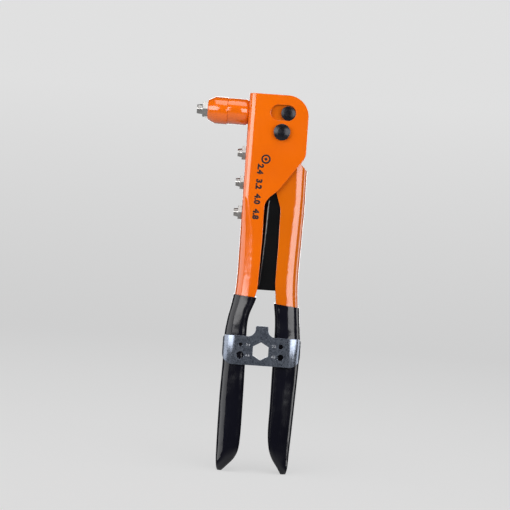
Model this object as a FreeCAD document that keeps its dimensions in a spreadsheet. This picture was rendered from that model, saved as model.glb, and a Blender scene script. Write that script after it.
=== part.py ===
"""A hand riveter for blind rivets, 250 mm long, as a parametric FreeCAD document.

Every outline is drawn from the centre of the pivot pin: +X towards the moving handle, +Z up
towards the head, and Y across the cheeks. Each sub-part is then placed so that the document's
origin is the mouth of the nosepiece, on the pull axis.
"""
import FreeCAD, Part
import math
import os

from FreeCAD import Placement, Rotation, Vector

doc = FreeCAD.newDocument("HandRiveter")

# ---------------------------------------------------------------- driving dimensions, in mm
SIZES = [
    # head and frame pressing
    ("head_top", 24.5, "top edge of the head above the pivot"),
    ("head_right", 16.8, "open edge of the head"),
    ("head_corner", 14.0, "corner radius at the top of the head"),
    ("web_face", -22.8, "outer face of the frame's web at the head"),
    ("frame_half", 11.0, "half width over the frame's cheeks"),
    ("frame_sheet", 2.0, "frame sheet thickness"),
    ("web_bend", 4.2, "outer bend radius of the web at the head"),
    # moving handle and inner lever
    ("handle_half", 8.7, "half width over the moving handle's cheeks"),
    ("handle_sheet", 1.8, "moving handle sheet thickness"),
    ("lever_sheet", 1.5, "inner lever sheet thickness"),
    ("lever_air", 0.1, "air between the lever's edges and the moving handle's web"),
    ("lever_web", -11.0, "where the inner lever's web would be at the head, if it weren't cut away"),
    # pins
    ("pivot_radius", 4.0, "pivot pin shank radius"),
    ("pivot_head_radius", 5.4, "pivot pin head radius"),
    ("pivot_head_depth", 2.6, "pivot pin head thickness"),
    ("pivot_dome", 16.0, "radius of the dome on the pivot pin's head"),
    ("pivot_tail", 1.6, "pivot pin past the back cheek"),
    ("ring_thickness", 1.2, "thickness of the ring that holds the pivot pin"),
    ("pin_clearance", 0.05, "radial running clearance on a pin"),
    ("bush_radius", 5.5, "pivot bush outer radius"),
    ("link_side", 3.3, "link pin beside the pivot, handles closed"),
    ("link_rise", 12.6, "link pin above the pivot, handles closed"),
    ("link_radius", 3.0, "link pin shank radius"),
    ("link_head_radius", 4.65, "link pin head radius"),
    ("link_head_face", 11.5, "link pin head face from the middle plane"),
    ("link_dome", 20.0, "radius of the dome on the link pin's head"),
    ("slot_radius", 5.15, "end radius of the cheek's slot"),
    ("slot_half_span", 3.15, "half distance between the slot's end centres"),
    ("slot_rise", 12.82, "slot centre above the pivot"),
    # barrel and nosepieces, along the pull axis
    ("pull_rise", 12.5, "pull axis above the pivot"),
    ("nose_reach", 57.0, "nosepiece mouth in front of the pivot"),
    ("barrel_front", -49.8, "front face of the barrel"),
    ("barrel_joint", -36.5, "joint between sleeve and collar"),
    ("barrel_radius", 8.9, "barrel outer radius"),
    ("collar_radius", 8.6, "barrel collar outer radius"),
    ("collar_seat", 7.7, "radius of the collar's face on the web"),
    ("collar_chamfer", 1.6, "length of the chamfer down to that face"),
    ("barrel_taper", 5.0, "length of the barrel's tapered front"),
    ("barrel_nose_radius", 6.4, "radius of the barrel's front face"),
    ("barrel_bore", 6.6, "bore radius of the barrel"),
    ("barrel_wall", 5.5, "thickness of the barrel's front wall"),
    ("spigot_radius", 7.8, "thread between sleeve and collar"),
    ("spigot_length", 5.0, "length of that thread"),
    ("stake_radius", 7.4, "collar's tail through the web"),
    ("stake_lip", 0.9, "thickness of the staked lip inside the web"),
    ("stake_flare", 0.2, "how far that lip stands out round its hole"),
    ("overlap", 1.0, "how far joined primitives run into one another"),
    ("paint_film", 0.03, "paint between the web and the spare nosepieces screwed into it"),
    ("nose_thread", 3.0, "nosepiece thread radius"),
    ("nose_thread_length", 5.3, "length of the fitted nosepiece's thread"),
    ("pilot_radius", 2.5, "end of the fitted nosepiece, which pushes the jaws back"),
    ("pilot_length", 2.3, "length of that end past the thread"),
    ("spare_thread_length", 5.3, "length of a spare nosepiece's thread"),
    ("nose_flats", 9.8, "hexagon of the fitted nosepiece, across flats"),
    ("nose_flange", 3.4, "hexagon flange thickness"),
    ("nose_tip_radius", 3.4, "nosepiece tip radius"),
    ("nose_tip_length", 3.8, "nosepiece tip length"),
    ("tip_draft", 0.5, "how much narrower a nosepiece is at its mouth"),
    ("flange_chamfer", 30.0, "angle of the chamfer round a hexagon flange, in degrees"),
    ("nose_bore", 1.55, "mandrel bore radius of the fitted nosepiece"),
    ("spare_flats", 8.8, "hexagon of a spare nosepiece, across flats"),
    ("spare_flange", 2.4, "spare nosepiece flange thickness"),
    ("spare_tip_radius", 3.0, "spare nosepiece tip radius"),
    ("spare_tip_length", 2.9, "spare nosepiece tip length"),
    # jaw train
    ("case_front", -37.3, "front face of the jaw case, handles closed"),
    ("case_length", 20.0, "jaw case length"),
    ("case_radius", 6.3, "jaw case outer radius"),
    ("case_mouth", 3.0, "mouth radius of the jaw case"),
    ("case_bore", 4.85, "rear bore radius of the jaw case"),
    ("taper_run", 1.5, "taper behind the jaws, for them to slide back on"),
    ("jaw_angle", 12.0, "half angle of the jaws' taper, in degrees"),
    ("jaw_length", 7.0, "jaw length"),
    ("jaw_recess", 0.8, "jaws behind the case's front face"),
    ("jaw_sweep", 112.0, "angle that one jaw spans, in degrees"),
    ("jaw_bore", 0.8, "radius of the toothed bore between the jaws"),
    ("jaw_play", 0.05, "radial play between jaws and taper"),
    ("pusher_flange", 1.8, "jaw pusher flange thickness"),
    ("pusher_radius", 4.3, "jaw pusher flange radius"),
    ("pusher_stem", 2.4, "jaw pusher stem radius"),
    ("pusher_length", 4.0, "jaw pusher overall length"),
    ("spent_bore", 1.7, "bore for the broken mandrel"),
    ("spring_radius", 3.5, "pusher spring mean radius"),
    ("wire_radius", 0.45, "pusher spring wire radius"),
    ("spring_turns", 4.0, "number of turns of the pusher spring"),
    ("push_gap", 0.1, "air between the jaws and their pusher"),
    ("rod_thread", 4.85, "pull rod thread radius"),
    ("rod_thread_length", 5.0, "pull rod thread inside the case"),
    ("mandrel_room", 14.0, "depth of the rod's bore that the broken mandrel leaves by"),
    ("rod_radius", 3.9, "pull rod shank radius"),
    ("rod_eye_half", 4.5, "half width of the pull rod's eye"),
    ("rod_eye_height", 5.5, "half height of the pull rod's eye"),
    ("rod_eye_start", -7.0, "front of the pull rod's eye"),
    ("rod_eye_end", 9.5, "rear of the pull rod's eye"),
    ("eye_play", 0.07, "play of the link pin along the pull axis"),
    ("eye_lift", 0.3, "half the rise that the eye's slot allows"),
    ("locknut_length", 2.5, "lock nut thickness"),
    ("locknut_flats", 10.8, "lock nut across flats"),
    # drills
    ("drill_lead", 1.0, "how far outside a piece a drill starts"),
    ("drill_run", 60.0, "length of a drill that goes right through"),
    # grips and wrench
    ("grip_wall", 1.3, "thickness of the dipped grips"),
    ("wrench_left", -29.2, "left side of the wrench"),
    ("wrench_right", 22.1, "right side of the wrench"),
    ("wrench_top", -134.6, "top edge of the wrench"),
    ("wrench_bottom", -153.4, "bottom edge of the wrench"),
    ("wrench_sheet", 1.5, "wrench sheet thickness"),
    ("wrench_bend", 8.0, "outer bend radius of the wrench's ends"),
    ("wrench_gap", 0.3, "air between the frame's grip and the wrench"),
    ("tab_half", 4.1, "half width of the wrench's tab"),
    ("tab_top", -127.5, "top of the wrench's tab"),
    ("tab_fillet", 5.0, "radius between the tab and the plate"),
    ("tab_corner", 1.0, "radius of the tab's corners"),
    ("shoulder_corner", 2.5, "radius of the wrench's upper corners"),
    ("foot_corner", 7.0, "radius of the wrench's lower corners"),
    ("hexagon_side", -4.0, "hexagon hole beside the pivot"),
    ("hexagon_drop", -143.9, "hexagon hole below the pivot"),
    ("hexagon_flats", 10.2, "hexagon hole across flats"),
]
sheet = doc.addObject("Spreadsheet::Sheet", "Sizes")
for row, (alias, value, meaning) in enumerate(SIZES, start=1):
    sheet.set(f"A{row}", meaning)
    sheet.set(f"B{row}", str(value))
    sheet.setAlias(f"B{row}", alias)
doc.recompute()


def size(alias):
    """A driving dimension, read back from the sheet."""
    return float(sheet.get(alias))


# ---------------------------------------------------------------- outlines, in mm
# Corners as (x, z, corner radius). The sides that the folded sheet closes by itself lie outside.
OUTSIDE = 40.0
FRAME_OUTLINE = [
    (-OUTSIDE, size("head_top"), 0),
    (size("head_right"), size("head_top"), size("head_corner")),
    (size("head_right"), -15.3, 8),
    (0, -38.5, 0.8),
    (-8.2, -45.6, 11),
    (-8.0, -72, 80),
    (-8.9, -104, 25),
    (-15.3, -127, 40),
    (-15.3, -205, 4),
    (-OUTSIDE, -223, 0),
]
HANDLE_OUTLINE = [
    (-9.4, 19.8, 7),
    (10.5, 19.8, 7),
    (13.8, -17, 5),
    (14.3, -20, 1),
    (OUTSIDE, -45.7, 0),
    (OUTSIDE, -223, 0),
    (6.5, -205, 4),
    (6.0, -129, 40),
    (2.5, -100, 60),
    (2.8, -76, 80),
    (2.6, -50, 14),
    (-9.4, -14, 15),
]
LEVER_OUTLINE = [
    (-9.2, 19.0, 6.5),
    (10.0, 19.0, 6.5),
    (12.6, -19, 5),
    (14.4, -40, 30),
    (13.0, -80, 30),
    (8.0, -104, 6),
    (-14.0, -104, 0),
    (-14.0, -34, 0),
    (-9.2, -22, 6),
]
# Where the sheet turns round the back of each handle: (z, x of the web's face, bend radius).
# The first two rows are joined by flat sheet, and the rest blend into one another.
FLAT_ROWS = 2
LOFT_DEGREE = 3  # cubic, because a higher degree overshoots between rows
FRAME_WEB = [
    (30, size("web_face"), size("web_bend")),
    (-40, size("web_face"), size("web_bend")),
    (-47, size("web_face"), 4.8),
    (-60, size("web_face"), 7.8),
    (-74, size("web_face"), 9.8),
    (-88, size("web_face"), 10.4),
    (-102, -23.1, 10.4),
    (-115, -24.5, 10.4),
    (-127, -26.7, 10.4),
    (-140, -27.6, 10.4),
    (-160, -27.4, 10.4),
    (-190, -27.6, 10.4),
    (-225, -27.4, 10.4),
]
HANDLE_WEB = [
    (30, 18.5, 7.0),
    (-40, 18.5, 7.0),
    (-56, 18.5, 7.8),
    (-72, 18.1, 8.1),
    (-88, 17.7, 8.3),
    (-100, 17.8, 8.3),
    (-114, 18.8, 8.3),
    (-130, 20.0, 8.3),
    (-147, 20.6, 8.3),
    (-165, 20.0, 8.3),
    (-190, 19.1, 8.3),
    (-225, 17.8, 8.3),
]
LEVER_WEB = [
    (30, size("lever_web"), 2.5),
    (-17, size("lever_web"), 2.5),
    (-27, -9.9, 3.4),
    (-37, -9.0, 4.4),
    (-50, -9.2, 4.8),
    (-72, -10.2, 5.0),
    (-90, -11.3, 5.0),
    (-120, -13.2, 5.0),
]
# The grips: (z, x of the outer side, x of the inner side, half width).
FRAME_GRIP = [
    (-96, -23.9, -8.0, 12.0),
    (-106, -24.2, -8.9, 12.0),
    (-115, -25.5, -11.0, 12.1),
    (-127, -27.7, -13.9, 12.3),
    (-140, -28.6, -13.9, 12.3),
    (-155, -28.5, -13.6, 12.3),
    (-170, -28.9, -13.4, 12.3),
    (-190, -29.0, -13.3, 12.3),
    (-203, -28.9, -13.5, 12.2),
    (-209, -28.8, -14.1, 12.0),
    (-214, -28.7, -15.8, 11.2),
    (-218, -28.5, -18.6, 9.8),
    (-221.5, -28.1, -21.8, 7.6),
    (-224.4, -27.2, -24.4, 4.6),
]
HANDLE_GRIP = [
    (-100, 18.8, 1.6, 9.6),
    (-114, 19.7, 2.9, 9.7),
    (-130, 21.1, 4.6, 10.0),
    (-147, 21.9, 4.7, 10.0),
    (-165, 21.4, 4.7, 10.0),
    (-190, 20.4, 4.7, 10.0),
    (-202, 19.9, 4.9, 10.0),
    (-208, 19.6, 5.8, 9.8),
    (-213.5, 19.4, 7.8, 9.2),
    (-218, 19.2, 10.6, 8.2),
    (-221.6, 18.8, 13.0, 6.8),
    (-224.4, 18.0, 14.6, 4.8),
]
# Where each grip starts: its edge's height at the outer side, and at the inner side.
FRAME_GRIP_EDGE = (-108.0, -109.2)
HANDLE_GRIP_EDGE = (-114.2, -112.2)
SPARES = {  # spare nosepiece: (height on the web, mandrel bore radius)
    "spare_nosepiece_1": (-14.5, 1.25),
    "spare_nosepiece_2": (-34.0, 1.0),
    "spare_nosepiece_3": (-53.9, 0.8),
}
GAUGE_HOLES = [  # (x, z, radius): a rivet is tried in them to find its size
    (-17.3, -140.2, 1.25),
    (-17.3, -147.2, 2.45),
    (9.1, -140.2, 1.65),
    (9.1, -147.2, 2.05),
]

# ---------------------------------------------------------------- helpers for primitives
TURN = {
    "x": Rotation(Vector(0, 1, 0), 90),
    "y": Rotation(Vector(1, 0, 0), -90),
    "z": Rotation(),
}
PARTS = []


def primitive(kind, name, along, corner, spin=0, **sizes):
    """A Part primitive that runs along an axis from a corner. Every size is a sheet expression."""
    item = doc.addObject(kind, name)
    item.Placement = Placement(Vector(), TURN[along] * Rotation(Vector(0, 0, 1), spin))
    for axis, expression in zip("xyz", corner):
        item.setExpression(f".Placement.Base.{axis}", expression)
    for name_of_size, expression in sizes.items():
        item.setExpression(name_of_size, expression)
    return item


def rod(name, along, corner, radius, length):
    """A round bar from corner."""
    return primitive("Part::Cylinder", name, along, corner, Radius=radius, Height=length)


def hexagon(name, along, corner, flats, length, spin=0):
    """A hexagon bar from corner, by its size across flats."""
    bar = primitive("Part::Prism", name, along, corner, spin)
    bar.Polygon = 6
    bar.setExpression("Circumradius", f"({flats}) / 2 / cos(30 deg)")
    bar.setExpression("Height", length)
    return bar


def fuse(name, *pieces):
    """The pieces joined into one solid."""
    joined = doc.addObject("Part::MultiFuse", name)
    joined.Shapes = list(pieces)
    joined.Refine = True
    return joined


def cut(name, base, *tools):
    """The base with every tool taken away."""
    rest = doc.addObject("Part::Cut", name)
    rest.Base = base
    rest.Tool = tools[0] if len(tools) == 1 else fuse(f"{name}_tools", *tools)
    rest.Refine = True
    return rest


def common(name, first, second):
    """What two pieces share."""
    shared = doc.addObject("Part::Common", name)
    shared.Base, shared.Tool = first, second
    return shared


def finished(item, label):
    """Labels a sub-part and moves it from the pivot's frame to the nosepiece's."""
    item.Label = label
    item.setExpression(".Placement.Base.x", "Sizes.nose_reach")
    item.setExpression(".Placement.Base.z", "-Sizes.pull_rise")
    PARTS.append(item)
    return item


def shaped(shape, label):
    """A sub-part whose shape is made with Part's own functions, in the pivot's frame."""
    item = doc.addObject("Part::Feature", label)
    item.Shape = shape
    item.Placement = Placement()
    return finished(item, label)


# ---------------------------------------------------------------- helpers for folded sheet
def rounded_face(corners, to_point):
    """A flat face from corners (u, v, radius), with each corner replaced by its tangent arc."""
    touching = 1e-6
    starts, edges = [], []
    count = len(corners)
    for index, (u, v, radius) in enumerate(corners):
        corner = to_point(u, v)
        before = to_point(*corners[index - 1][:2]) - corner
        after = to_point(*corners[(index + 1) % count][:2]) - corner
        if radius == 0:
            starts.append((corner, corner))
            continue
        opening = before.getAngle(after)
        reach = radius / math.tan(opening / 2)
        bisector = before.normalize() + after.normalize()
        middle = corner + bisector.normalize() * (radius / math.sin(opening / 2) - radius)
        first = corner + before * reach
        last = corner + after * reach
        edges.append(Part.Arc(first, middle, last).toShape())
        starts.append((first, last))
    for index in range(count):
        leave = starts[index][1]
        arrive = starts[(index + 1) % count][0]
        if leave.distanceToPoint(arrive) > touching:
            edges.append(Part.makeLine(leave, arrive))
    return Part.Face(Part.Wire(Part.__sortEdges__(edges)))


def side_prism(corners, half_width):
    """An outline seen from the side, as thick as the tool is wide."""
    face = rounded_face(corners, lambda x, z: Vector(x, -half_width, z))
    return face.extrude(Vector(0, 2 * half_width, 0))


def channel_section(z, web, bend, half_width, open_side):
    """The section of a channel's outside at height z: a web with two bends and an open end."""
    turn = 1 if open_side > web else -1
    inner = bend * (1 - math.sqrt(0.5))
    near, far = web + turn * bend, half_width - bend
    corners = [
        Part.makeLine(Vector(open_side, -half_width, z), Vector(near, -half_width, z)),
        Part.Arc(
            Vector(near, -half_width, z),
            Vector(web + turn * inner, -half_width + inner, z),
            Vector(web, -far, z),
        ).toShape(),
        Part.makeLine(Vector(web, -far, z), Vector(web, far, z)),
        Part.Arc(
            Vector(web, far, z),
            Vector(web + turn * inner, half_width - inner, z),
            Vector(near, half_width, z),
        ).toShape(),
        Part.makeLine(Vector(near, half_width, z), Vector(open_side, half_width, z)),
        Part.makeLine(Vector(open_side, half_width, z), Vector(open_side, -half_width, z)),
    ]
    return Part.Wire(corners)


def channel_solid(webs, half_width, open_side, inset):
    """The space inside a channel's outer skin, drawn in by inset."""
    turn = 1 if open_side > webs[0][1] else -1
    sections = [
        channel_section(z, web + turn * inset, bend - inset, half_width - inset, open_side)
        for z, web, bend in webs
    ]
    flat = Part.makeLoft(sections[:FLAT_ROWS], True, True)
    curved = Part.makeLoft(sections[FLAT_ROWS - 1 :], True, False, False, LOFT_DEGREE)
    return flat.fuse(curved)


def cross_hole(x, z, radius):
    """A drill through both cheeks."""
    reach = 2 * size("frame_half")
    return Part.makeCylinder(radius, 2 * reach, Vector(x, -reach, z), Vector(0, 1, 0))


def web_hole(z, radius):
    """A drill through the frame's web at height z."""
    lead = size("drill_lead")
    start = Vector(size("web_face") - lead, 0, z)
    return Part.makeCylinder(radius, size("frame_sheet") + 2 * lead, start, Vector(1, 0, 0))


# ---------------------------------------------------------------- frame
def make_frame():
    """The frame pressing: head cheeks, web and fixed handle. Returns its uncut blank too."""
    half = size("frame_half")
    skin = channel_solid(FRAME_WEB, half, OUTSIDE, 0)
    blank = skin.common(side_prism(FRAME_OUTLINE, 2 * half))
    folded = blank.cut(channel_solid(FRAME_WEB, half, 2 * OUTSIDE, size("frame_sheet")))
    span, rise, radius = size("slot_half_span"), size("slot_rise"), size("slot_radius")
    slot = side_prism(
        [
            (-span - radius, rise - radius, radius),
            (span + radius, rise - radius, radius),
            (span + radius, rise + radius, radius),
            (-span - radius, rise + radius, radius),
        ],
        2 * half,
    )
    holes = [slot, cross_hole(0, 0, size("pivot_radius"))]
    holes.append(web_hole(size("pull_rise"), size("stake_radius")))
    holes += [web_hole(height, size("nose_thread")) for height, bore in SPARES.values()]
    return folded.cut(holes), blank


frame_shape, frame_blank = make_frame()
shaped(frame_shape, "frame")


# ---------------------------------------------------------------- moving handle, inner lever
def make_handle():
    """The moving handle's pressing, with holes for both pins. Returns its uncut blank too."""
    half = size("handle_half")
    skin = channel_solid(HANDLE_WEB, half, -OUTSIDE, 0)
    blank = skin.common(side_prism(HANDLE_OUTLINE, 2 * half))
    folded = blank.cut(channel_solid(HANDLE_WEB, half, -2 * OUTSIDE, size("handle_sheet")))
    pivot_hole = cross_hole(0, 0, size("pivot_radius") + size("pin_clearance"))
    link_hole = cross_hole(size("link_side"), size("link_rise"), size("link_radius"))
    return folded.cut([pivot_hole, link_hole]), blank


handle_shape, handle_blank = make_handle()
shaped(handle_shape, "moving_handle")


def make_lever():
    """The inner lever: a channel between the moving handle's cheeks, open at the head."""
    half = size("handle_half") - size("handle_sheet") - size("lever_air")
    skin = channel_solid(LEVER_WEB, half, OUTSIDE, 0)
    blank = skin.common(side_prism(LEVER_OUTLINE, 2 * half))
    folded = blank.cut(channel_solid(LEVER_WEB, half, 2 * OUTSIDE, size("lever_sheet")))
    inset = size("handle_sheet") + size("lever_air")
    inside_handle = channel_solid(HANDLE_WEB, size("handle_half"), -OUTSIDE, inset)
    folded = folded.common(inside_handle)
    pivot_hole = cross_hole(0, 0, size("pivot_radius") + size("pin_clearance"))
    link_hole = cross_hole(size("link_side"), size("link_rise"), size("link_radius"))
    return folded.cut([pivot_hole, link_hole])


shaped(make_lever(), "inner_lever")


# ---------------------------------------------------------------- pins
def domed_pin(label, shank, disc, corner, radius):
    """A pin whose head's face is part of a ball, which holds the rest of the pin."""
    side, face, rise = corner
    ball = primitive("Part::Sphere", f"{label}_ball", "z", (side, f"{face} + {radius}", rise), Radius=radius)
    finished(common(label, fuse(f"{label}_blank", shank, disc), ball), label)


def make_pivot():
    """The pivot pin with its front head, the ring that holds it, and the bush round it."""
    front, back = ("0", "-Sizes.frame_half", "0"), ("0", "Sizes.frame_half", "0")
    shank_length = "2 * Sizes.frame_half + Sizes.pivot_tail"
    shank = rod("pivot_shank", "y", front, "Sizes.pivot_radius", shank_length)
    head_corner = ("0", "-Sizes.frame_half - Sizes.pivot_head_depth", "0")
    disc = rod("pivot_disc", "y", head_corner, "Sizes.pivot_head_radius", "Sizes.pivot_head_depth")
    domed_pin("pivot_pin", shank, disc, head_corner, "Sizes.pivot_dome")
    ring = rod("ring_disc", "y", back, "Sizes.pivot_head_radius", "Sizes.ring_thickness")
    ring_hole = rod("ring_hole", "y", back, "Sizes.pivot_radius", "Sizes.ring_thickness")
    finished(cut("pivot_ring", ring, ring_hole), "pivot_ring")
    inner = "(Sizes.handle_half - Sizes.handle_sheet - Sizes.lever_air - Sizes.lever_sheet)"
    tube = rod("bush_tube", "y", ("0", f"-{inner}", "0"), "Sizes.bush_radius", f"2 * {inner}")
    bore = "Sizes.pivot_radius + Sizes.pin_clearance"
    tube_hole = rod("bush_hole", "y", ("0", f"-{inner}", "0"), bore, f"2 * {inner}")
    finished(cut("pivot_bush", tube, tube_hole), "pivot_bush")


def make_link():
    """The link pin with its front head, and the collar riveted on its other end."""
    side, rise = "Sizes.link_side", "Sizes.link_rise"
    thick = "(Sizes.link_head_face - Sizes.handle_half)"
    shank = rod(
        "link_shank",
        "y",
        (side, "-Sizes.handle_half", rise),
        "Sizes.link_radius",
        f"2 * Sizes.handle_half + {thick}",
    )
    head_corner = (side, "-Sizes.link_head_face", rise)
    disc = rod("link_disc", "y", head_corner, "Sizes.link_head_radius", thick)
    domed_pin("link_pin", shank, disc, head_corner, "Sizes.link_dome")
    corner = (side, "Sizes.handle_half", rise)
    disc = rod("collar_disc", "y", corner, "Sizes.link_head_radius", thick)
    hole = rod("collar_hole", "y", corner, "Sizes.link_radius", thick)
    finished(cut("link_collar", disc, hole), "link_collar")


make_pivot()
make_link()


# ---------------------------------------------------------------- barrel
def on_axis(x):
    """A point on the pull axis, as sheet expressions."""
    return (x, "0", "Sizes.pull_rise")


def drill(name, start, radius):
    """A drill along the pull axis, from start back through the rest of the piece."""
    return rod(name, "x", on_axis(start), radius, "Sizes.drill_run")


def make_barrel():
    """The barrel's front sleeve and the collar that is staked into the web."""
    front, joint = "Sizes.barrel_front", "Sizes.barrel_joint"
    cone = primitive(
        "Part::Cone",
        "sleeve_taper",
        "x",
        on_axis(front),
        Radius1="Sizes.barrel_nose_radius",
        Radius2="Sizes.barrel_radius",
        Height="Sizes.barrel_taper",
    )
    tube = rod(
        "sleeve_tube",
        "x",
        on_axis(f"{front} + Sizes.barrel_taper"),
        "Sizes.barrel_radius",
        f"{joint} - {front} - Sizes.barrel_taper",
    )
    chamber = drill("sleeve_chamber", f"{front} + Sizes.barrel_wall", "Sizes.barrel_bore")
    thread = drill("sleeve_thread", f"{joint} - Sizes.spigot_length", "Sizes.spigot_radius")
    mouth = drill("sleeve_mouth", f"{front} - Sizes.drill_lead", "Sizes.nose_thread")
    sleeve = fuse("sleeve_body", cone, tube)
    finished(cut("barrel", sleeve, chamber, thread, mouth), "barrel")

    shoulder = "(Sizes.web_face - Sizes.collar_chamfer)"
    body = rod("collar_body", "x", on_axis(joint), "Sizes.collar_radius", f"{shoulder} - {joint}")
    chamfer = primitive(
        "Part::Cone",
        "collar_end",
        "x",
        on_axis(shoulder),
        Radius1="Sizes.collar_radius",
        Radius2="Sizes.collar_seat",
        Height="Sizes.collar_chamfer",
    )
    spigot = rod(
        "collar_spigot",
        "x",
        on_axis(f"{joint} - Sizes.spigot_length"),
        "Sizes.spigot_radius",
        "Sizes.spigot_length + Sizes.overlap",
    )
    tail = rod(
        "collar_tail",
        "x",
        on_axis("Sizes.web_face - Sizes.overlap"),
        "Sizes.stake_radius",
        "Sizes.frame_sheet + Sizes.stake_lip + Sizes.overlap",
    )
    lip = rod(
        "collar_lip",
        "x",
        on_axis("Sizes.web_face + Sizes.frame_sheet"),
        "Sizes.stake_radius + Sizes.stake_flare",
        "Sizes.stake_lip",
    )
    bore = drill("collar_bore", "Sizes.barrel_front", "Sizes.barrel_bore")
    collar = fuse("collar_blank", body, chamfer, spigot, tail, lip)
    finished(cut("barrel_collar", collar, bore), "barrel_collar")


make_barrel()


# ---------------------------------------------------------------- nosepieces
def make_nosepiece(label, face, height, kind, thread_length, bore, pilot_length):
    """A nosepiece seated on a face, with its thread behind it. All sizes are expressions."""
    flange_length = f"Sizes.{kind}_flange"
    tip_length = f"Sizes.{kind}_tip_length"
    tip_radius = f"Sizes.{kind}_tip_radius"
    flats = f"Sizes.{kind}_flats"
    corner = (f"{face} - {flange_length}", "0", height)
    blank = hexagon(f"{label}_hexagon", "x", corner, flats, flange_length, spin=30)
    chamfer = primitive(
        "Part::Cone",
        f"{label}_chamfer",
        "x",
        corner,
        Radius1=f"{flats} / 2",
        Radius2=f"{flats} / 2 + {flange_length} / tan(Sizes.flange_chamfer * 1 deg)",
        Height=flange_length,
    )
    flange = common(f"{label}_flange", blank, chamfer)
    tip = primitive(
        "Part::Cone",
        f"{label}_tip",
        "x",
        (f"{face} - {flange_length} - {tip_length}", "0", height),
        Radius1=f"{tip_radius} - Sizes.tip_draft",
        Radius2=tip_radius,
        Height=tip_length,
    )
    thread = rod(f"{label}_thread", "x", (face, "0", height), "Sizes.nose_thread", thread_length)
    pilot = rod(
        f"{label}_pilot",
        "x",
        (f"{face} + {thread_length}", "0", height),
        "Sizes.pilot_radius",
        pilot_length,
    )
    mouth = f"{face} - {flange_length} - {tip_length} - Sizes.drill_lead"
    hole = rod(f"{label}_hole", "x", (mouth, "0", height), bore, "Sizes.drill_run")
    solid = fuse(f"{label}_blank", flange, tip, thread, pilot)
    finished(cut(label, solid, hole), label)


make_nosepiece(
    "nosepiece",
    "Sizes.barrel_front",
    "Sizes.pull_rise",
    "nose",
    "Sizes.nose_thread_length",
    "Sizes.nose_bore",
    "Sizes.pilot_length",
)
for spare, (spare_height, spare_bore) in SPARES.items():
    make_nosepiece(
        spare,
        "(Sizes.web_face - Sizes.paint_film)",
        str(spare_height),
        "spare",
        "Sizes.spare_thread_length",
        str(spare_bore),
        "Sizes.pilot_length",
    )


# ---------------------------------------------------------------- jaw train
JAW_START = "(Sizes.case_front + Sizes.jaw_recess)"
JAW_END = f"({JAW_START} + Sizes.jaw_length)"
PUSHER_START = f"({JAW_END} + Sizes.push_gap)"
CASE_END = "(Sizes.case_front + Sizes.case_length)"
TAPER_RISE = "Sizes.jaw_length * tan(Sizes.jaw_angle * 1 deg)"


def make_case():
    """The jaw case: a tube with the taper in its front, a bore and the rod's thread behind."""
    body = rod(
        "case_body", "x", on_axis("Sizes.case_front"), "Sizes.case_radius", "Sizes.case_length"
    )
    mouth = drill("case_mouth_hole", "Sizes.case_front - Sizes.drill_lead", "Sizes.case_mouth")
    taper = primitive(
        "Part::Cone",
        "case_taper",
        "x",
        on_axis(JAW_START),
        Radius1="Sizes.case_mouth",
        Radius2=f"Sizes.case_mouth + {TAPER_RISE} * (1 + Sizes.taper_run / Sizes.jaw_length)",
        Height="Sizes.jaw_length + Sizes.taper_run",
    )
    bore = drill("case_rear_bore", f"{JAW_END} + Sizes.taper_run", "Sizes.case_bore")
    finished(cut("jaw_case", body, mouth, taper, bore), "jaw_case")


def make_jaw(number):
    """One of three jaws: a sector of the taper, with its share of the toothed bore."""
    label = f"jaw_{number + 1}"
    spin = 180 + 120 * number - size("jaw_sweep") / 2
    sector = primitive(
        "Part::Cone",
        f"{label}_sector",
        "x",
        on_axis(JAW_START),
        spin,
        Radius1="Sizes.case_mouth - Sizes.jaw_play",
        Radius2=f"Sizes.case_mouth + {TAPER_RISE} - Sizes.jaw_play",
        Height="Sizes.jaw_length",
        Angle="Sizes.jaw_sweep",
    )
    bore = drill(f"{label}_bore", f"{JAW_START} - Sizes.drill_lead", "Sizes.jaw_bore")
    finished(cut(label, sector, bore), label)


def make_pusher():
    """The pusher that holds the jaws forward: a flange with a stem that guides its spring."""
    start = on_axis(PUSHER_START)
    flange = rod("pusher_disc", "x", start, "Sizes.pusher_radius", "Sizes.pusher_flange")
    stem = rod("pusher_shaft", "x", start, "Sizes.pusher_stem", "Sizes.pusher_length")
    hole = drill("pusher_hole", f"{PUSHER_START} - Sizes.drill_lead", "Sizes.spent_bore")
    solid = fuse("pusher_blank", flange, stem)
    finished(cut("jaw_pusher", solid, hole), "jaw_pusher")


def make_spring():
    """The pusher spring, between the pusher's flange and the end of the pull rod."""
    start = f"({PUSHER_START} + Sizes.pusher_flange + Sizes.wire_radius)"
    end = f"({CASE_END} - Sizes.rod_thread_length - Sizes.wire_radius)"
    coil = primitive(
        "Part::Helix",
        "spring_coil",
        "x",
        on_axis(start),
        Pitch=f"({end} - {start}) / Sizes.spring_turns",
        Height=f"{end} - {start}",
        Radius="Sizes.spring_radius",
    )
    wire = primitive(
        "Part::Circle",
        "spring_wire",
        "y",
        (start, "0", "Sizes.pull_rise - Sizes.spring_radius"),
        Radius="Sizes.wire_radius",
    )
    spring = doc.addObject("Part::Sweep", "pusher_spring")
    spring.Sections = [wire]
    spring.Spine = (coil, ["Edge1"])
    spring.Solid = True
    spring.Frenet = True
    finished(spring, "pusher_spring")


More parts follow.
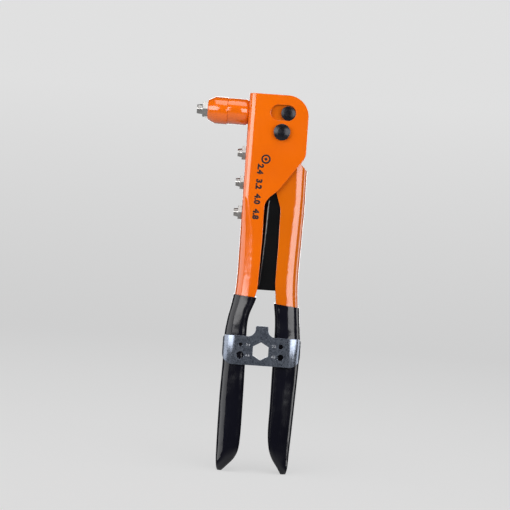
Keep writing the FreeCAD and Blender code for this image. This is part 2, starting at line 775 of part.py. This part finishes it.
def make_pull_rod():
    """The pull rod: thread, shank and a flat eye with a slot for the link pin."""
    thread_start = f"({CASE_END} - Sizes.rod_thread_length)"
    thread = rod(
        "rod_threaded",
        "x",
        on_axis(thread_start),
        "Sizes.rod_thread",
        "Sizes.rod_thread_length + Sizes.locknut_length",
    )
    shank_length = f"Sizes.rod_eye_start + Sizes.overlap - {CASE_END}"
    shank = rod("rod_shank", "x", on_axis(CASE_END), "Sizes.rod_radius", shank_length)
    eye = primitive(
        "Part::Box",
        "rod_eye",
        "z",
        ("Sizes.rod_eye_start", "-Sizes.rod_eye_half", "Sizes.pull_rise - Sizes.rod_eye_height"),
        Length="Sizes.rod_eye_end - Sizes.rod_eye_start",
        Width="2 * Sizes.rod_eye_half",
        Height="2 * Sizes.rod_eye_height",
    )
    slot_radius = "(Sizes.link_radius + Sizes.eye_play)"
    slot_low, slot_high = "Sizes.slot_rise - Sizes.eye_lift", "Sizes.slot_rise + Sizes.eye_lift"
    outside = "-Sizes.drill_run / 2"
    low_corner = ("Sizes.link_side", outside, slot_low)
    high_corner = ("Sizes.link_side", outside, slot_high)
    low = rod("eye_low", "y", low_corner, slot_radius, "Sizes.drill_run")
    high = rod("eye_high", "y", high_corner, slot_radius, "Sizes.drill_run")
    between = primitive(
        "Part::Box",
        "eye_between",
        "z",
        (f"Sizes.link_side - {slot_radius}", outside, slot_low),
        Length=f"2 * {slot_radius}",
        Width="Sizes.drill_run",
        Height="2 * Sizes.eye_lift",
    )
    mandrel = rod(
        "rod_mandrel_bore",
        "x",
        on_axis(f"{thread_start} - Sizes.drill_lead"),
        "Sizes.spent_bore",
        "Sizes.mandrel_room",
    )
    solid = fuse("rod_blank", thread, shank, eye)
    finished(cut("pull_rod", solid, low, high, between, mandrel), "pull_rod")


def make_locknut():
    """The nut that locks the jaw case on the pull rod."""
    nut = hexagon(
        "locknut_hexagon", "x", on_axis(CASE_END), "Sizes.locknut_flats", "Sizes.locknut_length"
    )
    hole = drill("locknut_hole", f"{CASE_END} - Sizes.drill_lead", "Sizes.rod_thread")
    finished(cut("case_locknut", nut, hole), "case_locknut")


make_case()
for jaw in range(3):
    make_jaw(jaw)
make_pusher()
make_spring()
make_pull_rod()
make_locknut()


# ---------------------------------------------------------------- grips
def grip_section(z, outer, inner, half_width):
    """A grip's section at height z: round on its outer side, softly rounded on its inner side."""
    flat_face = 1.0
    wide = abs(inner - outer)
    outer_radius = min(half_width - flat_face, 0.75 * wide)
    inner_radius = 0.22 * wide
    corners = [
        (outer, -half_width, outer_radius),
        (outer, half_width, outer_radius),
        (inner, half_width, inner_radius),
        (inner, -half_width, inner_radius),
    ]
    return rounded_face(corners, lambda x, y: Vector(x, y, z)).OuterWire


def make_grip(sections, blank, edge):
    """A dipped grip over a handle's blank, starting at a slanted edge."""
    rows = [grip_section(*row) for row in sections]
    solid = Part.makeLoft(rows, True, False, False, LOFT_DEGREE)
    outer, inner = sections[0][1:3]
    at_outer, at_inner = edge
    slope = (at_outer - at_inner) / (outer - inner)
    low = sections[-1][0] - OUTSIDE
    zone = side_prism(
        [
            (OUTSIDE, at_outer + slope * (OUTSIDE - outer), 0),
            (-OUTSIDE, at_outer + slope * (-OUTSIDE - outer), 0),
            (-OUTSIDE, low, 0),
            (OUTSIDE, low, 0),
        ],
        OUTSIDE,
    )
    return solid.common(zone).cut(blank)


shaped(make_grip(FRAME_GRIP, frame_blank, FRAME_GRIP_EDGE), "frame_grip")
shaped(make_grip(HANDLE_GRIP, handle_blank, HANDLE_GRIP_EDGE), "handle_grip")


# ---------------------------------------------------------------- wrench
def bent_strip():
    """The wrench's sheet, bent back at both ends, as high as the wrench with its tab."""
    left, right = size("wrench_left"), size("wrench_right")
    thick, bend = size("wrench_sheet"), size("wrench_bend")
    back = -(size("frame_half") + size("grip_wall") + size("wrench_gap"))
    front = back - thick
    end = front + bend
    section = [
        (left, end, 0),
        (left, front, bend),
        (right, front, bend),
        (right, end, 0),
        (right - thick, end, 0),
        (right - thick, back, bend - thick),
        (left + thick, back, bend - thick),
        (left + thick, end, 0),
    ]
    foot = size("wrench_bottom")
    face = rounded_face(section, lambda x, y: Vector(x, y, foot))
    return face.extrude(Vector(0, 0, size("tab_top") - foot))


def wrench_outline():
    """The wrench's outline seen from the front: a plate with a tab above its hexagon hole."""
    left, right = size("wrench_left"), size("wrench_right")
    top, bottom = size("wrench_top"), size("wrench_bottom")
    middle, half = size("hexagon_side"), size("tab_half")
    corners = [
        (left, bottom, size("foot_corner")),
        (right, bottom, size("foot_corner")),
        (right, top, size("shoulder_corner")),
        (middle + half, top, size("tab_fillet")),
        (middle + half, size("tab_top"), size("tab_corner")),
        (middle - half, size("tab_top"), size("tab_corner")),
        (middle - half, top, size("tab_fillet")),
        (left, top, size("shoulder_corner")),
    ]
    return side_prism(corners, OUTSIDE)


def hexagon_hole():
    """The wrench's hexagon hole, with a corner at the top."""
    radius = size("hexagon_flats") / 2 / math.cos(math.radians(30))
    centre = Vector(size("hexagon_side"), -OUTSIDE, size("hexagon_drop"))
    turns = [math.radians(60 * step) for step in range(7)]
    points = [centre + Vector(radius * math.sin(turn), 0, radius * math.cos(turn)) for turn in turns]
    return Part.Face(Part.makePolygon(points)).extrude(Vector(0, 2 * OUTSIDE, 0))


def make_wrench():
    """The sheet-metal wrench with its hexagon hole and its gauge holes."""
    gauges = [cross_hole(x, z, radius) for x, z, radius in GAUGE_HOLES]
    return bent_strip().common(wrench_outline()).cut([hexagon_hole()] + gauges)


shaped(make_wrench(), "wrench")

# ---------------------------------------------------------------- checks and export
doc.recompute()
for item in doc.Objects:
    bad = {"Invalid", "Error"} & set(item.State)
    if bad:
        raise RuntimeError(f"{item.Label} is {bad}")
for item in PARTS:
    if item.Shape.isNull() or not item.Shape.isValid():
        raise RuntimeError(f"{item.Label} has no valid shape")
    if len(item.Shape.Solids) != 1:
        raise RuntimeError(f"{item.Label} has {len(item.Shape.Solids)} solids")

os.makedirs("parts", exist_ok=True)
for item in PARTS:
    item.Shape.exportStep(f"parts/{item.Label}.step")
    box = item.Shape.BoundBox
    print(
        f"{item.Label:20s} {item.Shape.Volume:9.1f} mm3"
        f"  x {box.XMin:7.1f} {box.XMax:7.1f}"
        f"  y {box.YMin:6.1f} {box.YMax:6.1f}"
        f"  z {box.ZMin:7.1f} {box.ZMax:7.1f}"
    )
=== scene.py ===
"""The looks of a hand riveter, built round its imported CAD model.

Lengths are in metres, in the frame of the CAD model: the origin is the mouth of the nosepiece,
+X runs towards the moving handle, +Z up, and the viewer looks along +Y.
"""
import math

import bmesh
import bpy
from mathutils import Matrix, Vector


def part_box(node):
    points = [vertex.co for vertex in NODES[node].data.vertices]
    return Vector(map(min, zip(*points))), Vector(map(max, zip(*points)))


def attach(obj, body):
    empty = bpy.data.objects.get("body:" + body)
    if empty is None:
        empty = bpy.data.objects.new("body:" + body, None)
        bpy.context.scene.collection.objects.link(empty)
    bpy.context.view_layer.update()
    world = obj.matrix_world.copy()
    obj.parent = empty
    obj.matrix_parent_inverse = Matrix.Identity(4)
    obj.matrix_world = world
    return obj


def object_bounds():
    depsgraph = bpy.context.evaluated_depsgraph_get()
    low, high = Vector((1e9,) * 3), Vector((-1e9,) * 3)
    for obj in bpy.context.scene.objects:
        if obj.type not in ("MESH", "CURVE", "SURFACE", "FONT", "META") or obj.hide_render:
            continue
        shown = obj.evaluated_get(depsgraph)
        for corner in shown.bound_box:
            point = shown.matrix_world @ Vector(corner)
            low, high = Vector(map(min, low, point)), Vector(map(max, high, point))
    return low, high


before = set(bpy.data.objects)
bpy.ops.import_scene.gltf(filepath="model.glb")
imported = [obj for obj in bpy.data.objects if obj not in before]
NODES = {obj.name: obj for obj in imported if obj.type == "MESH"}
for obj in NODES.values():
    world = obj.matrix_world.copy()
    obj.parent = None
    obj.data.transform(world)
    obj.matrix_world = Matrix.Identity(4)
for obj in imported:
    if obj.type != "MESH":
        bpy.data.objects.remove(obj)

CAD_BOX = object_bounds()
FLOOR = CAD_BOX[0].z
MIDDLE = (CAD_BOX[0] + CAD_BOX[1]) / 2
PIVOT = sum(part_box("pivot_pin"), Vector()) / 2
CHEEK_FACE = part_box("frame")[0].y  # the cheek that the viewer sees
PLATE_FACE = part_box("wrench")[0].y
MM = 0.001

# Soft edges: edges sharper than BEVEL_ANGLE are rounded, once nearly flat faces are joined.
WELD_GAP = 0.002 * MM
FLAT_ANGLE = math.radians(0.3)
BEVEL_ANGLE = math.radians(35)
BEVEL_STEPS = 3
BEVELS = {  # node: width of its rounded edges in mm
    "frame": 0.75,
    "moving_handle": 0.65,
    "inner_lever": 0.35,
    "barrel": 0.9,
    "barrel_collar": 0.8,
    "nosepiece": 0.25,
    "spare_nosepiece_1": 0.2,
    "spare_nosepiece_2": 0.2,
    "spare_nosepiece_3": 0.2,
    "pivot_pin": 0.45,
    "pivot_ring": 0.3,
    "link_pin": 0.4,
    "link_collar": 0.3,
    "wrench": 0.22,
    "pull_rod": 0.3,
    "case_locknut": 0.3,
    "jaw_case": 0.3,
}

# Print and stamping. Places are in mm, beside and above the pivot.
CAP_SHARE = 0.729  # height of a numeral as a share of the font's size
SPACING = 1.05  # room between numerals, as a share of the font's own
PRINT_HEIGHT = 3.8 * MM
PRINT_WEIGHT = 0.31 * MM  # added to every stroke, for bold numerals
PRINT_FILM = 0.02 * MM  # thickness of the ink
PRINT_PLACE = (-13.05, -39.8)
PRINT_TURN = math.radians(-91.9)
RING_RADII = (2.0 * MM, 3.1 * MM)
RING_DOT = 1.0 * MM
RING_PLACE = (-9.2, -18.3)
RING_STEPS = 48
STAMP_HEIGHT = 1.5 * MM
STAMP_WEIGHT = 0.03 * MM
STAMP_BURR = 0.012 * MM  # how far the stamped numerals stand off the plate
STAMP_PLACES = {  # beside the gauge hole of each size
    "2.4": (-12.4, -140.2),
    "4.8": (-12.4, -147.2),
    "3.2": (4.5, -140.2),
    "4.0": (4.5, -147.2),
}

# Stage, lights and camera, in metres and degrees. Azimuth 0 is where the viewer stands.
FLOOR_DISC = 0.5
FLOOR_REACH = 1.5
COVE_RADIUS = 1.2
WALL_TOP = 3.4
COVE_BENDS = 16
COVE_TURNS = 96
LIGHTS = {  # name: azimuth, elevation, distance, width, height, radiance
    "left_box": (-44, 15.5, 1.4, 1.4, 0.75, 4.5),
    "right_box": (43, 12, 1.4, 1.4, 0.75, 4.3),
    "left_side_box": (-100, 2, 1.4, 1.3, 0.9, 1.5),
    "right_side_box": (112, 2, 1.4, 0.5, 0.8, 2.2),
    "back_box": (176, 14, 1.5, 1.1, 0.9, 2.8),
    "top_box": (0, 72, 1.5, 1.3, 1.1, 2.2),
}
FLOOR_LIGHT = "top_box"  # the only one that reaches the floor
DIM = (0.04, 0.041, 0.044, 1)
PALE = (0.5, 0.5, 0.5, 1)
PALE_FROM, PALE_TO = -0.25, -0.55  # how far down a ray points where the room turns pale
CAMERA_PLACE = Vector((0.045, -1.011, -0.0939))
CAMERA_LENS = 107.8
CAMERA_ROLL = math.radians(4)


# ---------------------------------------------------------------- node trees
class Surface:
    """A procedural material. Each method adds one node and returns its output socket."""

    def __init__(self, name, **uniform):
        self.material = bpy.data.materials.new(name)
        self.material.use_nodes = True
        self.tree = self.material.node_tree
        self.shader = self.tree.nodes["Principled BSDF"]
        for words, value in uniform.items():
            self.shader.inputs[words.replace("_", " ")].default_value = value
        place = self.tree.nodes.new("ShaderNodeTexCoord")
        self.place = place.outputs["Object"]

    def node(self, kind, links=None, values=None, **settings):
        """One node of this kind, with its settings, its values and the sockets that feed it."""
        item = self.tree.nodes.new(f"ShaderNode{kind}")
        for name, value in settings.items():
            setattr(item, name, value)
        for key, value in (values or {}).items():
            item.inputs[key].default_value = value
        for key, socket in (links or {}).items():
            self.tree.links.new(socket, item.inputs[key])
        return item

    def stretched(self, scale, turn=(0, 0, 0)):
        """The object's coordinates, scaled and turned, for grain that runs one way."""
        mapping = self.node("Mapping", {"Vector": self.place}, {"Scale": scale, "Rotation": turn})
        return mapping.outputs["Vector"]

    def noise(self, size, detail=2.0, rough=0.5, place=None):
        """Soft noise from 0 to 1, whose features are about as large as size."""
        links = {"Vector": place or self.place}
        values = {"Scale": 1 / size, "Detail": detail, "Roughness": rough}
        return self.node("TexNoise", links, values).outputs["Fac"]

    def scatter(self, size):
        """How far a place is from the nearest of some points, which are about size apart."""
        item = self.node("TexVoronoi", {"Vector": self.place}, {"Scale": 1 / size})
        return item.outputs["Distance"]

    def span(self, socket, low, high, start=0.0, end=1.0):
        """A value that goes from start to end as the socket goes from low to high."""
        values = {"From Min": low, "From Max": high, "To Min": start, "To Max": end}
        return self.node("MapRange", {"Value": socket}, values).outputs["Result"]

    def math(self, operation, first, second):
        """Two values put together. Either may be a number or a socket."""
        item = self.node("Math", operation=operation)
        for index, value in enumerate((first, second)):
            if isinstance(value, (int, float)):
                item.inputs[index].default_value = value
            else:
                self.tree.links.new(value, item.inputs[index])
        return item.outputs["Value"]

    def mix(self, share, first, second):
        """A colour between two colours. Each may be a colour or a socket."""
        item = self.node("Mix", {0: share}, data_type="RGBA")
        for index, value in ((6, first), (7, second)):
            if isinstance(value, tuple):
                item.inputs[index].default_value = (*value, 1.0)
            else:
                self.tree.links.new(value, item.inputs[index])
        return item.outputs[2]

    def bump(self, height, depth, below=None):
        """A bump of this depth in metres, over an earlier one."""
        links = {"Height": height}
        if below is not None:
            links["Normal"] = below
        return self.node("Bump", links, {"Distance": depth, "Strength": 1.0}).outputs["Normal"]

    def finish(self, colour=None, roughness=None, normal=None, coat_normal=None):
        """Feeds the shader and returns the material."""
        feeds = {
            "Base Color": colour,
            "Roughness": roughness,
            "Normal": normal,
            "Coat Normal": coat_normal,
        }
        for key, socket in feeds.items():
            if socket is not None:
                self.tree.links.new(socket, self.shader.inputs[key])
        return self.material


def linear(red, green, blue):
    """A display colour from 0 to 255 as linear light."""
    shares = (channel / 255 for channel in (red, green, blue))
    return tuple(s / 12.92 if s <= 0.04045 else ((s + 0.055) / 1.055) ** 2.4 for s in shares)


# ---------------------------------------------------------------- materials
def enamel(name, colour, dark, rough):
    """Sprayed and baked enamel: an even colour, a fine orange peel and a few dust nibs."""
    paint = Surface(name, Coat_Weight=0.9, Coat_Roughness=0.05, Specular_IOR_Level=0.5)
    drift = paint.span(paint.noise(30 * MM, 3), 0.3, 0.7)
    peel = paint.noise(1.6 * MM, 2)
    nibs = paint.span(paint.scatter(5 * MM), 0.03, 0.07, 1.0, 0.0)
    shade = paint.mix(drift, dark, colour)
    gloss = paint.span(paint.noise(9 * MM, 4), 0.3, 0.7, rough * 0.8, rough * 1.35)
    normal = paint.bump(peel, 0.012 * MM)
    normal = paint.bump(nibs, 0.01 * MM, normal)
    return paint.finish(shade, gloss, normal, normal)


def vinyl():
    """Dipped vinyl: glossy, slightly wavy, with faint runs along the handle."""
    grip = Surface("dipped_vinyl", Specular_IOR_Level=0.5)
    runs = grip.noise(1, 3, place=grip.stretched((90, 90, 16)))
    waves = grip.noise(12 * MM, 1)
    grain = grip.noise(0.6 * MM, 3)
    colour = grip.mix(grip.span(runs, 0.3, 0.7), (0.0038, 0.0038, 0.0075), (0.0062, 0.0062, 0.0115))
    gloss = grip.span(grip.noise(11 * MM, 3), 0.35, 0.65, 0.08, 0.2)
    normal = grip.bump(waves, 0.5 * MM)
    normal = grip.bump(runs, 0.08 * MM, normal)
    normal = grip.bump(grain, 0.003 * MM, normal)
    return grip.finish(colour, gloss, normal)


def black_oxide():
    """Oiled black oxide on turned steel."""
    pin = Surface("black_oxide", Metallic=0.35, Specular_IOR_Level=0.5)
    grain = pin.noise(0.4 * MM, 4)
    patches = pin.span(pin.noise(3 * MM, 3), 0.3, 0.7)
    colour = pin.mix(patches, (0.007, 0.007, 0.01), (0.02, 0.019, 0.026))
    gloss = pin.span(pin.noise(2.2 * MM, 3), 0.3, 0.7, 0.16, 0.3)
    return pin.finish(colour, gloss, pin.bump(grain, 0.008 * MM))


def turned_steel(name, colour, rough):
    """Turned steel: fine rings round the pull axis and soft patches in its gloss."""
    steel = Surface(name, Metallic=1.0)
    rings = steel.noise(0.12 * MM, 2, place=steel.stretched((1, 0.04, 0.04)))
    patches = steel.span(steel.noise(2.5 * MM, 3), 0.3, 0.7)
    darker = tuple(channel * 0.72 for channel in colour)
    shade = steel.mix(patches, darker, colour)
    gloss = steel.span(rings, 0.3, 0.7, rough * 0.7, rough * 1.3)
    return steel.finish(shade, gloss, steel.bump(rings, 0.004 * MM))


def zinc():
    """Zinc-plated sheet: blue-grey mottling, faint rolling lines and light scratches."""
    sheet = Surface("zinc_sheet", Metallic=1.0)
    mottle = sheet.noise(0.9 * MM, 4, 0.6)
    cloud = sheet.noise(9 * MM, 2)
    lines = sheet.noise(0.35 * MM, 3, place=sheet.stretched((0.05, 1, 1)))
    scratch = sheet.noise(0.8 * MM, 4, 0.7, sheet.stretched((1, 1, 0.03), (0, 0.6, 0)))
    tone = sheet.math("ADD", sheet.math("MULTIPLY", mottle, 0.7), sheet.math("MULTIPLY", cloud, 0.3))
    colour = sheet.mix(sheet.span(tone, 0.2, 0.8), (0.13, 0.155, 0.21), (0.4, 0.44, 0.52))
    colour = sheet.mix(sheet.span(scratch, 0.68, 0.8, 0, 0.4), colour, (0.8, 0.82, 0.86))
    gloss = sheet.span(mottle, 0.2, 0.8, 0.24, 0.33)
    normal = sheet.bump(mottle, 0.003 * MM)
    normal = sheet.bump(lines, 0.003 * MM, normal)
    return sheet.finish(colour, gloss, normal)


def printed_ink():
    """Pad-printed black ink, a little uneven."""
    ink = Surface("printed_ink", Specular_IOR_Level=0.4)
    speckle = ink.span(ink.noise(0.5 * MM, 3), 0.3, 0.7)
    colour = ink.mix(speckle, (0.006, 0.006, 0.007), (0.016, 0.015, 0.015))
    gloss = ink.span(ink.noise(2 * MM, 2), 0.3, 0.7, 0.3, 0.45)
    return ink.finish(colour, gloss)


def stamping():
    """The bare metal of a stamped numeral: paler and rougher than the plate round it."""
    bare = Surface("stamping", Metallic=1.0)
    grain = bare.noise(0.3 * MM, 3)
    colour = bare.mix(grain, (0.5, 0.52, 0.58), (0.86, 0.87, 0.9))
    return bare.finish(colour, bare.span(grain, 0.3, 0.7, 0.35, 0.55))


def pale_paper():
    """Matt pale paper that glows more as it climbs the wall, so that it looks evenly lit."""
    paper = Surface("pale_paper", Specular_IOR_Level=0.1, Roughness=0.9, Emission_Strength=1.0)
    height = paper.node("SeparateXYZ", {"Vector": paper.place}).outputs["Z"]
    glow = paper.span(height, FLOOR, FLOOR + 0.5, 0.58, 0.7)
    glow = paper.node("CombineColor", {"Red": glow, "Green": glow, "Blue": glow}).outputs["Color"]
    paper.tree.links.new(glow, paper.shader.inputs["Emission Color"])
    return paper.finish(paper.mix(paper.noise(0.4, 2), (0.35, 0.35, 0.348), (0.37, 0.37, 0.368)))


SLOTS = {
    "orange_paint": enamel("orange_enamel", linear(235, 107, 0), linear(228, 101, 0), 0.14),
    "black_paint": enamel("black_enamel", linear(16, 16, 17), linear(11, 11, 12), 0.12),
    "bright_steel": turned_steel("nickel_plate", (0.46, 0.445, 0.43), 0.3),
    "machined_steel": turned_steel("machined_steel", (0.5, 0.5, 0.49), 0.3),
    "hard_steel": turned_steel("hard_steel", (0.32, 0.31, 0.3), 0.3),
    "spring_steel": turned_steel("spring_steel", (0.42, 0.4, 0.37), 0.25),
    "black_oxide": black_oxide(),
    "grip_dip": vinyl(),
    "zinc_sheet": zinc(),
}
# The moving handle's paint is a darker copy of the frame's orange: painted shade, for a handle that
# sits further back and catches less light.
SHADED_HANDLE_PAINT = enamel("handle_enamel_painted_shade", linear(216, 104, 0), linear(210, 99, 0), 0.14)  # darker orange: painted shade


def dress_cad_nodes():
    """Puts the finishes on the CAD nodes, slot by slot. The moving handle gets a darker copy of the
    orange, which is painted shade.
    """
    for node in NODES.values():
        for place in node.material_slots:
            place.material = SLOTS[place.material.name.split(".")[0]]
    NODES["moving_handle"].material_slots[0].material = SHADED_HANDLE_PAINT


# ---------------------------------------------------------------- soft edges
def soften(node, width):
    """Rounds a node's sharp edges. Its mesh stays as packed, and only modifiers act on it."""
    weld = node.modifiers.new("weld", "WELD")
    weld.merge_threshold = WELD_GAP
    flat = node.modifiers.new("flat", "DECIMATE")
    flat.decimate_type = "DISSOLVE"
    flat.angle_limit = FLAT_ANGLE
    bevel = node.modifiers.new("bevel", "BEVEL")
    bevel.width = width * MM
    bevel.segments = BEVEL_STEPS
    bevel.limit_method = "ANGLE"
    bevel.angle_limit = BEVEL_ANGLE
    bevel.use_clamp_overlap = True
    bevel.harden_normals = True


# ---------------------------------------------------------------- print and stamping
def add(name, mesh):
    """A new object in the scene."""
    item = bpy.data.objects.new(name, mesh)
    bpy.context.scene.collection.objects.link(item)
    return item


def on_face(place, face):
    """A point on a face that looks along -Y, from its place beside and above the pivot."""
    beside, above = place
    return Vector((PIVOT.x + beside * MM, face, PIVOT.z + above * MM))


def lettering(name, words, height, place, turn, weight, proud):
    """Flat numerals on a face that looks along -Y. They read along X, turned about Y."""
    font = bpy.data.curves.new(name, "FONT")
    font.body = words
    font.size = height / CAP_SHARE
    font.align_x, font.align_y = "CENTER", "CENTER"
    font.offset = weight
    font.space_character = SPACING
    font.extrude = proud
    font.resolution_u = 4
    text = add(f"{name}_curve", font)
    bpy.context.view_layer.update()
    mesh = bpy.data.meshes.new_from_object(text)
    bpy.data.objects.remove(text)
    stand = Matrix.Rotation(math.radians(90), 4, "X")
    mesh.transform(Matrix.Translation(place) @ Matrix.Rotation(-turn, 4, "Y") @ stand)
    return add(name, mesh)


def rim(shape, radius, depth):
    """A ring of points round Y."""
    turns = [2 * math.pi * step / RING_STEPS for step in range(RING_STEPS)]
    return [shape.verts.new((radius * math.cos(t), depth, radius * math.sin(t))) for t in turns]


def join(shape, first, second):
    """Faces from one ring of points to the next."""
    for step in range(RING_STEPS):
        after = (step + 1) % RING_STEPS
        shape.faces.new((first[step], first[after], second[after], second[step]))


def ring_mark(name, place, proud):
    """A thin ring round a dot, on a face that looks along -Y."""
    shape = bmesh.new()
    inner, outer = RING_RADII
    section = ((inner, -proud), (outer, -proud), (outer, proud), (inner, proud))
    rims = [rim(shape, radius, depth) for radius, depth in section]
    for first, second in zip(rims, rims[1:] + rims[:1]):
        join(shape, first, second)
    front, back = rim(shape, RING_DOT, -proud), rim(shape, RING_DOT, proud)
    join(shape, front, back)
    shape.faces.new(front)
    shape.faces.new(back[::-1])
    bmesh.ops.recalc_face_normals(shape, faces=shape.faces)
    mesh = bpy.data.meshes.new(name)
    shape.to_mesh(mesh)
    shape.free()
    mesh.transform(Matrix.Translation(place))
    return add(name, mesh)


def settle(item, material, body):
    """Gives a new piece its material, and puts it on a body."""
    item.data.materials.clear()
    item.data.materials.append(material)
    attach(item, body)


def print_sizes():
    """The rivet sizes, printed down the frame's cheek, under a plain ring."""
    ink = printed_ink()
    words = "  ".join(sorted(STAMP_PLACES))
    place = on_face(PRINT_PLACE, CHEEK_FACE)
    sizes = lettering(
        "printed_sizes", words, PRINT_HEIGHT, place, PRINT_TURN, PRINT_WEIGHT, PRINT_FILM
    )
    ring = ring_mark("printed_ring", on_face(RING_PLACE, CHEEK_FACE), PRINT_FILM)
    settle(sizes, ink, "frame_body")
    settle(ring, ink, "frame_body")


def stamp_gauges():
    """The size of each gauge hole, stamped beside it on the wrench."""
    bare = stamping()
    for words, place in STAMP_PLACES.items():
        name = f"stamped_{words.replace('.', '_')}"
        spot = on_face(place, PLATE_FACE)
        item = lettering(name, words, STAMP_HEIGHT, spot, 0, STAMP_WEIGHT, STAMP_BURR)
        settle(item, bare, "wrench_body")


# ---------------------------------------------------------------- stage
def lathe(name, profile):
    """A smooth bowl turned about a vertical axis through the tool, from (radius, height)."""
    angles = [2 * math.pi * turn / COVE_TURNS for turn in range(COVE_TURNS)]
    points = [(MIDDLE.x + r * math.cos(a), r * math.sin(a), z) for r, z in profile for a in angles]
    faces = [tuple(range(COVE_TURNS))]
    for ring in range(len(profile) - 1):
        low, high = ring * COVE_TURNS, (ring + 1) * COVE_TURNS
        for turn in range(COVE_TURNS):
            after = (turn + 1) % COVE_TURNS
            faces.append((low + turn, high + turn, high + after, low + after))
    mesh = bpy.data.meshes.new(name)
    mesh.from_pydata(points, [], faces)
    mesh.shade_smooth()
    return add(name, mesh)


def make_stage():
    """A round pale floor that curves up into a wall. The object doesn't reflect it."""
    profile = [(FLOOR_DISC, FLOOR), (FLOOR_REACH, FLOOR)]
    for bend in range(1, COVE_BENDS + 1):
        angle = math.radians(90) * bend / COVE_BENDS
        out, up = math.sin(angle), 1 - math.cos(angle)
        profile.append((FLOOR_REACH + COVE_RADIUS * out, FLOOR + COVE_RADIUS * up))
    profile.append((FLOOR_REACH + COVE_RADIUS, FLOOR + WALL_TOP))
    cove = lathe("cove", profile)
    cove.data.materials.append(pale_paper())
    cove.visible_glossy = False
    cove.visible_diffuse = False
    return cove


def area_light(name, azimuth, elevation, distance, width, height, radiance):
    """A soft box round the middle of the tool, turned towards it and unseen by the camera."""
    turn, rise = math.radians(azimuth), math.radians(elevation)
    way = Vector((math.sin(turn) * math.cos(rise), -math.cos(turn) * math.cos(rise), math.sin(rise)))
    data = bpy.data.lights.new(name, "AREA")
    data.shape = "RECTANGLE"
    data.size, data.size_y = width, height
    data.energy = radiance * math.pi * width * height
    light = add(name, data)
    light.location = MIDDLE + way * distance
    light.rotation_euler = way.to_track_quat("Z", "Y").to_euler()
    light.visible_camera = False
    return light


def make_lights(cove):
    """The soft boxes. All but one are kept off the floor, so that it stays even."""
    off_floor = bpy.data.collections.new("off_floor")
    off_floor.objects.link(cove)
    off_floor.collection_objects[0].light_linking.link_state = "EXCLUDE"
    for name, settings in LIGHTS.items():
        light = area_light(name, *settings)
        if name != FLOOR_LIGHT:
            light.light_linking.receiver_collection = off_floor


def make_room():
    """A dim room that is pale below, as a floor is."""
    world = bpy.data.worlds.new("dim_room")
    world.use_nodes = True
    tree = world.node_tree
    way = tree.nodes.new("ShaderNodeTexCoord").outputs["Generated"]
    parts = tree.nodes.new("ShaderNodeSeparateXYZ")
    share = tree.nodes.new("ShaderNodeMapRange")
    share.inputs["From Min"].default_value = PALE_FROM
    share.inputs["From Max"].default_value = PALE_TO
    blend = tree.nodes.new("ShaderNodeMix")
    blend.data_type = "RGBA"
    blend.inputs[6].default_value = DIM
    blend.inputs[7].default_value = PALE
    tree.links.new(way, parts.inputs[0])
    tree.links.new(parts.outputs["Z"], share.inputs["Value"])
    tree.links.new(share.outputs["Result"], blend.inputs[0])
    tree.links.new(blend.outputs[2], tree.nodes["Background"].inputs["Color"])
    bpy.context.scene.world = world


def make_camera():
    """Looks along +Y at the tool, rolled so that the tool leans a little."""
    right = Vector((math.cos(CAMERA_ROLL), 0, math.sin(CAMERA_ROLL)))
    up = Vector((-math.sin(CAMERA_ROLL), 0, math.cos(CAMERA_ROLL)))
    data = bpy.data.cameras.new("view")
    data.lens = CAMERA_LENS
    camera = add("view", data)
    turn = Matrix((right, up, right.cross(up))).transposed().to_4x4()
    camera.matrix_world = Matrix.Translation(CAMERA_PLACE) @ turn
    bpy.context.scene.camera = camera


bpy.context.scene.view_settings.view_transform = "Standard"
dress_cad_nodes()
for name, width in BEVELS.items():
    soften(NODES[name], width)
print_sizes()
stamp_gauges()
make_lights(make_stage())
make_room()
make_camera()
